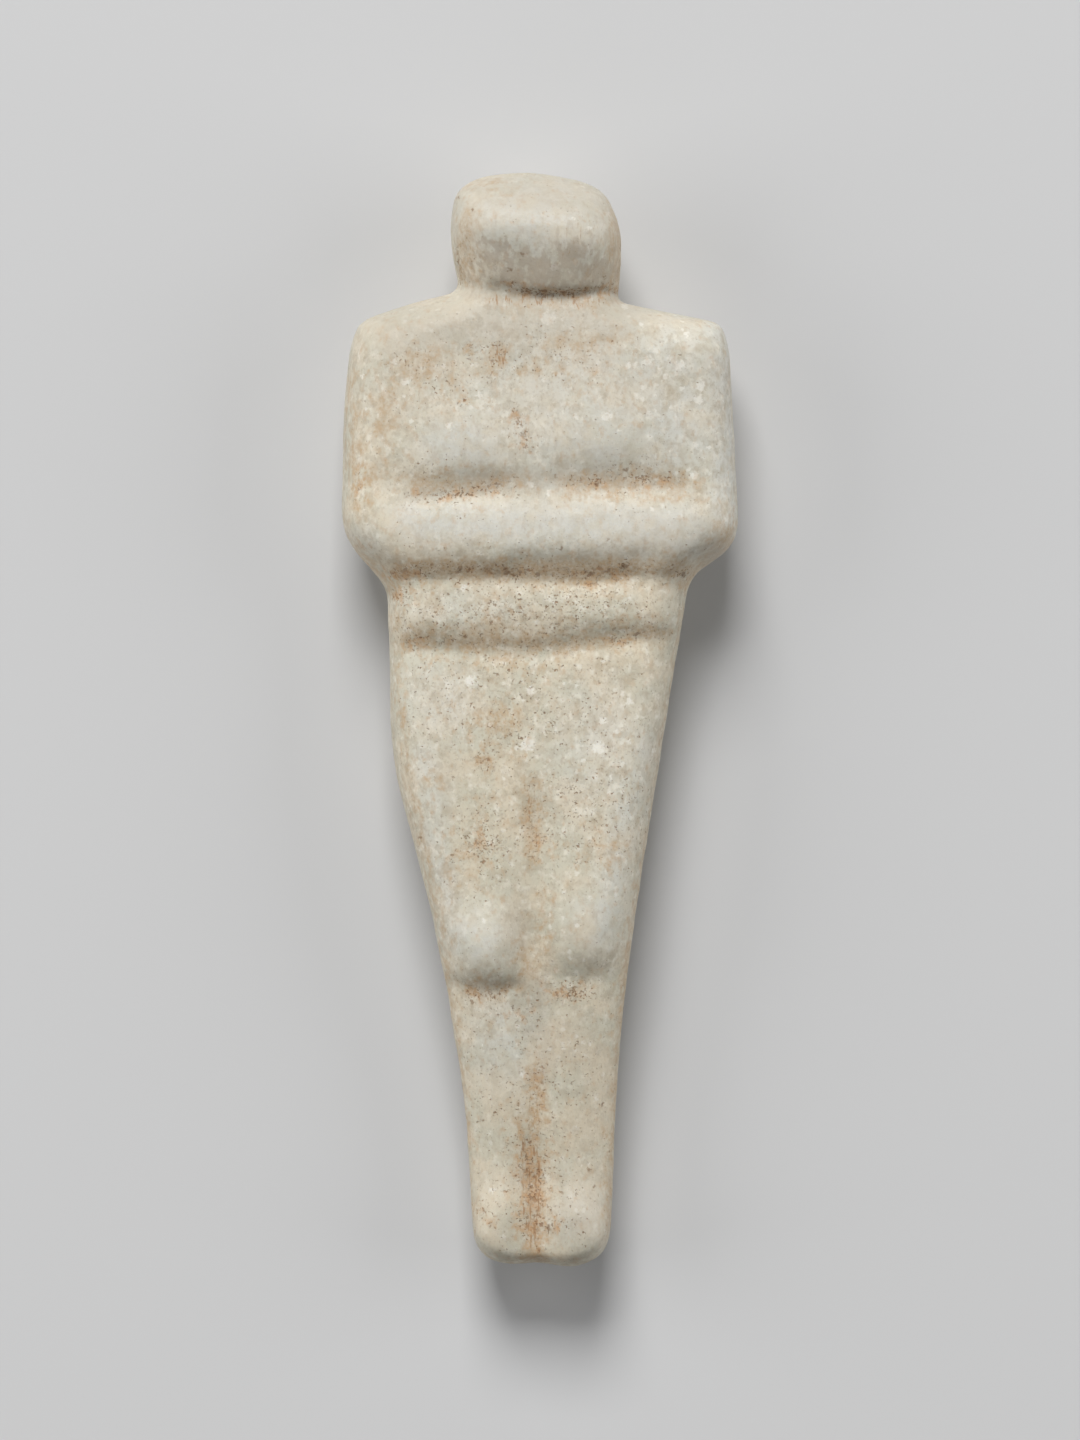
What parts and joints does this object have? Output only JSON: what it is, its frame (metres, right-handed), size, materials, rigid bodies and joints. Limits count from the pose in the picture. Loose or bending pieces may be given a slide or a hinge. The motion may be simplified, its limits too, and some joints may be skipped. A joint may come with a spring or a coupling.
{
  "type": "schematic marble figurine",
  "caption": "Schematic standing female figurine of marble with a blank rounded head, folded arms, marked knees and joined feet, lying on its back.",
  "frame": {"origin": "middle of the box of the lying figure, on the surface that its back rests on", "axes": "+X across to the viewer's right as the front is seen with its head up, +Y from the feet to the head, +Z out of the front"},
  "size_m": [0.0726, 0.1998, 0.0296],
  "materials": {
    "marble": "coarse crystalline white marble, worn waxy matt, with warm brown deposits in the creases and dark specks"
  },
  "bodies": {
    "root": {"figurine": "marble"}
  },
  "joints": []
}
